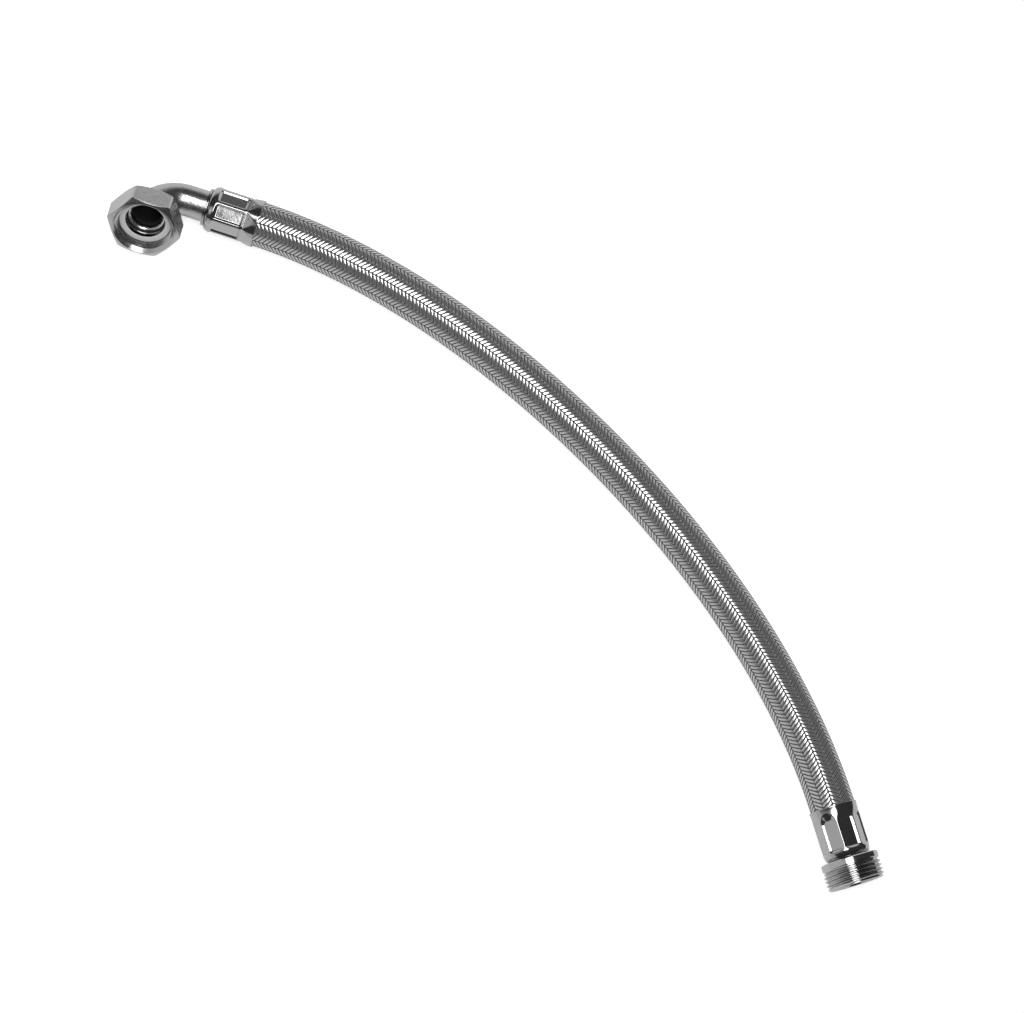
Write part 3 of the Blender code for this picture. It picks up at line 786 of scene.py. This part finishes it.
def tailOutline():
    points = [(tail["bore"], -tail["length"])]
    for barb in range(tail["barbs"]):
        foot = -tail["length"] + barb * tail["pitch"]
        points += [(tail["root"], foot), (tail["crest"], foot + tail["pitch"] * tail["rise"])]
    points.append((tail["root"], -tail["length"] + tail["barbs"] * tail["pitch"]))
    points.append((tail["crest"], -tail["inset"]))
    return points


collar = {
    "outside": 10.8 * mm,
    "groove": 10.3 * mm,
    "ring": 0.6 * mm,
    "gap": 0.4 * mm,  # between the two rings
    "end": 1.9 * mm,
    "socket": 9.3 * mm,
    "socketDepth": 0.9 * mm,
    "edge": 0.2 * mm,
    "sides": 128,
}


def twinCollar():
    first = tail["gap"] + collar["ring"]
    second = first + collar["gap"]
    floor = collar["end"] - collar["socketDepth"]
    outline = tailOutline() + [
        (tail["crest"], tail["gap"]), (collar["outside"], tail["gap"]), (collar["outside"], first),
        (collar["groove"], first), (collar["groove"], second), (collar["outside"], second),
        (collar["outside"], collar["end"]), (collar["socket"], collar["end"]), (collar["socket"], floor),
        (tail["bore"], floor),
    ]
    verts, faces = spin(roundCorners(outline, collar["edge"]), collar["sides"])
    return addPiece("elbow_twin_collar", verts, faces, [looks["turnedChrome"]], elbowFrame)


settle(twinCollar(), "line", "elbow_tail", "elbow_tail")


# Bent pipe with the flared seat

pipe = {
    "radius": 9.0 * mm,
    "bore": 8.0 * mm,
    "start": 1.3 * mm,
    "bendStart": 11.6 * mm,
    "bendRadius": 19.0 * mm,
    "bendAngle": math.radians(96.0),
    "nutLeg": 2.4 * mm,
    "flange": 1.8 * mm,
    "flangeRadius": 14.845 * mm,
    "fillet": 0.6 * mm,
    "edge": 0.15 * mm,  # eased edges of the flange and the step
    "recess": (11.3 * mm, 1.25 * mm),  # step inside the seal: radius and depth
    "mouth": ((10.2, 0), (9.75, 0.12), (9.4, 0.45), (9.1, 0.95), (8.85, 1.6), (8.75, 2.3), (8.65, 3.0),
              (8.5, 3.4), (8.0, 4.6)),  # radius and depth below the step, mm
    "stepEdge": 0.1 * mm,
    "boreGap": 0.2 * mm,
    "seal": 3.1 * mm,  # flange's face to the seal's front
    "firstStep": 1.0 * mm,
    "sides": 96,
    "steps": 56,  # loops of the bend
    "legSteps": 8,
    "filletSteps": 6,
    "darkFrom": 8.7 * mm,  # the bright lip reaches in to this radius of the mouth; deeper in, the bore is painted dark as shade
}
pipe["bendEnd"] = pipe["bendStart"] + pipe["bendRadius"] * pipe["bendAngle"]
pipe["flangeBack"] = pipe["bendEnd"] + pipe["nutLeg"]
pipe["flangeFace"] = pipe["flangeBack"] + pipe["flange"]
pipe["seat"] = pipe["flangeFace"] + pipe["seal"]


def pipeFrame(along):  # on the pipe's centreline, Z along it
    turn = min(max(along - pipe["bendStart"], 0), pipe["bendEnd"] - pipe["bendStart"]) / pipe["bendRadius"]
    ahead = Vector((math.sin(turn), 0, math.cos(turn)))
    middle = Vector((1 - math.cos(turn), 0, math.sin(turn))) * pipe["bendRadius"]
    middle += Vector((0, 0, pipe["bendStart"]))
    middle += ahead * (min(along - pipe["bendStart"], 0) + max(along - pipe["bendEnd"], 0))
    return Matrix.Translation(middle) @ Matrix.Rotation(turn, 4, "Y")


bendFrame = elbowFrame @ Matrix.Rotation(lay["elbowRoll"] - math.pi / 2, 4, "Z")
seatFrame = bendFrame @ pipeFrame(pipe["seat"])


def pipeOutline():  # radius and length along, with each loop's finish: tube, painted shade inside, or a lip painted brighter as reflection
    start, back, face, edge = pipe["start"], pipe["flangeBack"], pipe["flangeFace"], pipe["edge"]
    run = [start] + list(np.linspace(start + pipe["firstStep"], pipe["bendStart"], pipe["legSteps"]))
    run += list(np.linspace(pipe["bendStart"], pipe["bendEnd"], pipe["steps"] + 1))[1:]
    outline = [(pipe["radius"], along) for along in run]
    fillet, wide = pipe["fillet"], pipe["flangeRadius"]
    for a in np.linspace(0, math.pi / 2, pipe["filletSteps"]):
        outline.append((pipe["radius"] + fillet * (1 - math.cos(a)), back - fillet * (1 - math.sin(a))))
    outline += [(wide - edge, back), (wide, back + edge), (wide, face - edge), (wide - edge, face)]
    recess, drop = pipe["recess"]
    ledge, inset = face - drop, pipe["stepEdge"]
    outline.append((recess + edge, face))
    # from here on the recess, step and bore are painted dark as shade
    shadedFrom = len(outline)
    outline += [(recess, face - edge), (recess, ledge + inset), (recess - inset, ledge)]
    lipFrom = len(outline)
    outline += [(radius * mm, ledge - depth * mm) for radius, depth in pipe["mouth"]]
    deepest = outline[-1][1] - pipe["boreGap"]
    outline += [(pipe["bore"], along) for along in run[::-1] if along < deepest]
    coat = [0] * shadedFrom + [1] * (len(outline) - shadedFrom)
    for i in range(lipFrom, len(outline)):
        if outline[i][0] >= pipe["darkFrom"]:
            coat[i] = 2
    return outline, coat


def bentPipe():
    outline, coat = pipeOutline()
    angle = np.arange(pipe["sides"]) * math.tau / pipe["sides"]
    loops = []
    for radius, along in outline:
        place = pipeFrame(along)
        loops.append([place @ Vector((radius * math.cos(a), radius * math.sin(a), 0)) for a in angle])
    faces = skinFaces(len(loops), pipe["sides"])
    slots = np.repeat(coat, pipe["sides"])
    coats = [looks["tubeChrome"], looks["paintedBoreShade"], looks["litLipChrome"]]
    return addPiece("elbow_bent_pipe", loops, faces, coats, bendFrame, slots=slots)


settle(bentPipe(), "line", "elbow_pipe", "elbow_pipe")


# Sealing ring

seal = {
    "inside": 11.3 * mm,
    "outside": 14.845 * mm,
    "thick": 2.8 * mm,
    "edge": 0.35 * mm,
    "edgeSteps": 5,
    "lining": 0.12 * mm,  # metal lining inside the ring
    "sides": 128,
}


def sealRing():
    inside, outside, low = seal["inside"], seal["outside"], -seal["thick"]
    corners = [(inside, low), (outside, low), (outside, 0), (inside, 0)]
    outline = roundCorners(corners, seal["edge"], seal["edgeSteps"])
    radii = np.array(outline)[:, 0]
    lined = np.maximum(radii, np.roll(radii, -1)) < inside + seal["lining"]
    verts, faces = spin(outline, seal["sides"])
    slots = np.tile(lined, seal["sides"]).astype(int)
    coats = [looks["sealFibre"], looks["turnedChrome"]]
    return addPiece("seal_ring", verts, faces, coats, seatFrame, slots=slots)


settle(sealRing(), "line", "sealing_gasket", "sealing_gasket")


# One-inch pipe thread, on the nipple and in the nut

thread = {
    "major": 16.625 * mm,
    "minor": 15.145 * mm,
    "pitch": 2.309 * mm,
    "steep": 1.35,  # steeper flanks leave flats on crests and roots
    "soft": 0.35,  # share of rounding
    "points": 12,  # in one pitch
}


def threadRadius(height, angle):  # rounded ridges that climb one pitch in a turn
    turn = height / thread["pitch"] - angle / math.tau
    ridge = np.abs(2 * (turn - np.floor(turn)) - 1)  # 0 at a root, 1 at a crest
    ridge = np.clip((ridge - 0.5) * thread["steep"] + 0.5, 0, 1)
    ridge += (ridge * ridge * (3 - 2 * ridge) - ridge) * thread["soft"]
    return thread["minor"] + (thread["major"] - thread["minor"]) * ridge


def threadRows(low, high, angle):  # heights of a column's points, which follow the thread round
    step = thread["pitch"] / thread["points"]
    count = int(math.ceil((high - low) / step)) + thread["points"] + 1
    first = low - thread["pitch"] + thread["pitch"] * angle / math.tau
    return np.clip(first + np.arange(count) * step, low, high)


nipple = {
    "collar": 16.45 * mm,
    "collarLength": 4.0 * mm,
    "edge": 0.55 * mm,
    "relief": 0.5 * mm,
    "length": 11.0 * mm,
    "runOut": 0.9 * mm,
    "leadIn": 1.2 * mm,
    "blend": 0.05 * mm,
    "bore": 8.545 * mm,
    "boreEdge": 0.6 * mm,
    "taper": 4.0 * mm,
    "sides": 144,
    "crease": 40,
}


def threadedNipple():
    start = tail["gap"]
    collarEnd = start + nipple["collarLength"]
    end = collarEnd + nipple["length"]
    root = thread["minor"]
    threadStart = collarEnd + nipple["relief"]
    wide, edge, bore, boreEdge = nipple["collar"], nipple["edge"], nipple["bore"], nipple["boreEdge"]
    before = tailOutline() + [
        (tail["crest"], start), (wide - edge, start), (wide, start + edge), (wide, collarEnd - edge),
        (wide - edge, collarEnd), (root, collarEnd),
    ]
    after = [(bore + boreEdge, end), (bore, end - boreEdge), (bore, collarEnd)]
    after.append((tail["bore"], collarEnd - nipple["taper"]))
    columns = []
    for angle in np.linspace(0, math.tau, nipple["sides"] + 1):
        height = threadRows(threadStart, end, angle)
        run = np.clip((height - threadStart) / nipple["runOut"], 0, 1)
        radius = root + (threadRadius(height, angle) - root) * run  # the thread runs out into the relief
        leadIn = thread["major"] - nipple["leadIn"] + (end - height)
        radius = softMin(radius, leadIn, nipple["blend"])
        r, z = np.array(before + list(zip(radius, height)) + after).T
        columns.append(np.column_stack([r * math.cos(angle), r * math.sin(angle), z]))
    verts, faces = turnedGrid(np.array(columns))
    return addPiece("threaded_nipple", verts, faces, [looks["turnedChrome"]], nippleFrame, nipple["crease"])


settle(threadedNipple(), "line", "male_nipple", "male_nipple")


# Swivel nut

nut = {
    "acrossFlats": 37.4 * mm,
    "web": -5.2 * mm,  # inside face that pulls on the flange
    "back": -7.8 * mm,
    "rim": 7.0 * mm,
    "entry": 17.4 * mm,  # bevelled mouth, at the rim
    "blend": 0.05 * mm,
    "threadGap": 0.02 * mm,
    "runOut": 1.5 * mm,  # the thread fades out above the web
    "hole": 9.6 * mm,
    "holeEdge": 0.4 * mm,
    "webEdge": 0.3 * mm,
    "chamferInset": 0.9 * mm,
    "chamferSlope": math.tan(math.radians(30.0)),
    "cornerRound": 0.35 * mm,
    "cornerBlend": 0.1 * mm,
    "cornerSteps": (0, 0.35, 0.8, 1.4, 2.2, 3.4, 5, 7, 9.5, 12.5, 16, 20, 25, 30),  # degrees from a corner
    "edge": 0.18 * mm,
    "turn": math.radians(-3.5),
    "crease": 24,
}


def hexRadius(angle):  # distance from the axis to the hexagon, its corners eased
    half = math.pi / 6
    offset = (angle + half) % (2 * half) - half  # from the nearest corner
    flat = nut["acrossFlats"] / 2 / np.cos(half - abs(offset))
    corner = nut["acrossFlats"] / 2 / math.cos(half)
    return float(softMin(flat, corner - nut["cornerRound"], nut["cornerBlend"]))


def swivelNut():
    steps = np.array(nut["cornerSteps"])
    sector = np.concatenate([steps, 60 - steps[-2:0:-1]])
    angles = np.concatenate([sector + 60 * i for i in range(6)] + [[360.0]]) * math.pi / 180
    face = nut["acrossFlats"] / 2 - nut["chamferInset"]
    rim, back, web, hole, edge = nut["rim"], nut["back"], nut["web"], nut["hole"], nut["edge"]
    ease, holeEdge, webEdge = edge * nut["chamferSlope"], nut["holeEdge"], nut["webEdge"]
    root = thread["minor"] + nut["threadGap"]
    columns = []
    for angle in angles:
        wide = hexRadius(angle)
        drop = (wide - face) * nut["chamferSlope"]
        outside = [
            (hole, web - webEdge), (hole, back + holeEdge), (hole + holeEdge, back), (face - edge, back),
            (face + edge, back + ease), (wide - edge, back + drop - ease), (wide, back + drop + edge),
            (wide, rim - drop - edge), (wide - edge, rim - drop + ease), (face + edge, rim - ease),
            (face - edge, rim),
        ]
        height = threadRows(web, rim, angle)[::-1]
        radius = softMax(threadRadius(height, angle), nut["entry"] - (rim - height), nut["blend"])
        run = np.clip((height - web) / nut["runOut"], 0, 1)
        radius = root + (radius - root) * run
        r, z = np.array(outside + list(zip(radius, height)) + [(hole + webEdge, web)]).T
        around = angle + nut["turn"]
        columns.append(np.column_stack([r * math.cos(around), r * math.sin(around), z]))
    verts, faces = turnedGrid(np.array(columns))
    return addPiece("swivel_hex_nut", verts, faces, [looks["chrome"]], seatFrame, nut["crease"])


settle(swivelNut(), "nut", "swivel_nut", "swivel_nut")
